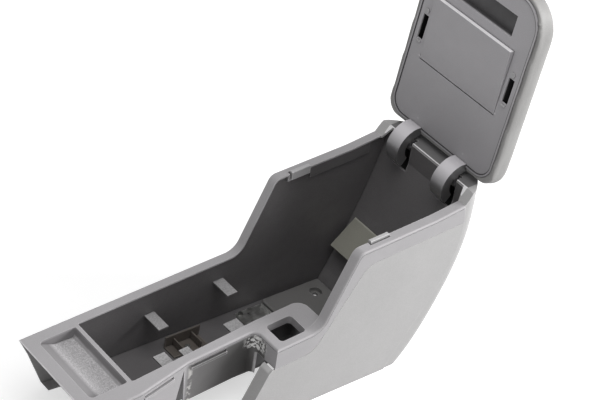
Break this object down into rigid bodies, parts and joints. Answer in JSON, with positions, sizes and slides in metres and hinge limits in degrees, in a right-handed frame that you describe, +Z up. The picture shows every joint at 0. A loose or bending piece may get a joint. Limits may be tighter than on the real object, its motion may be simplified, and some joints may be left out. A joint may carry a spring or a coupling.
{
  "type": "car center console",
  "caption": "Rear section of a car center console: front deck with tray, open trough, deep bin, bowed back, and a padded armrest lid that stands open on curved arms.",
  "frame": {"origin": "on the ground, under the middle of the overall length and width, with the lid open", "axes": "+X towards the rear of the car, +Y to the far side in the picture, +Z up"},
  "size_m": [0.699, 0.228, 0.6064],
  "materials": {
    "frame_grey": "fine grain, satin",
    "panel_grey": "fine grain, satin",
    "liner_dark": "fine grain, matt",
    "floor_grey": "smooth, matt",
    "duct_green": "smooth, matt",
    "bracket_brown": "smooth, matt",
    "clip_metal": "plated sheet",
    "screw_steel": "plated",
    "block_grey": "satin",
    "pin_steel": "ground",
    "hinge_black": "black coat",
    "arm_gloss": "gloss",
    "lid_grey": "fine grain, satin",
    "pad_vinyl": "grained vinyl",
    "bumper_rubber": "matt"
  },
  "bodies": {
    "console": {"top_frame": "frame_grey", "bin_liner": "liner_dark", "side_panel_near": "panel_grey", "side_panel_far": "panel_grey", "rear_cover": "panel_grey", "floor_plate": "floor_grey", "duct_cover": "duct_green", "shifter_bracket": "bracket_brown", "clip_plate": "clip_metal", "floor_screws": "screw_steel", "rim_block_near": "block_grey", "rim_block_far": "block_grey", "front_clip": "clip_metal", "hinge_pin": "pin_steel", "hinge_bracket_near": "hinge_black", "hinge_bracket_far": "hinge_black", "hinge_screws": "screw_steel", "panel_clips": "clip_metal"},
    "lid": {"lid_shell": "lid_grey", "lid_pad": "pad_vinyl", "lid_panel": "lid_grey", "hinge_arm_near": "arm_gloss", "hinge_arm_far": "arm_gloss", "arm_screws": "screw_steel", "lid_bumpers": "bumper_rubber", "door_pin": "pin_steel"},
    "door": {"compartment_door": "lid_grey"}
  },
  "joints": [
    {"name": "lid_hinge", "type": "hinge", "parent": "console", "child": "lid", "pos_m": [0.28213, 0, 0.283], "axis": [0, -1, 0], "range_deg": [0, 98]},
    {"name": "door_hinge", "type": "hinge", "parent": "lid", "child": "door", "pos_m": [0.29618, 0, 0.41603], "axis": [0, -1, 0], "range_deg": [0, 75]}
  ]
}
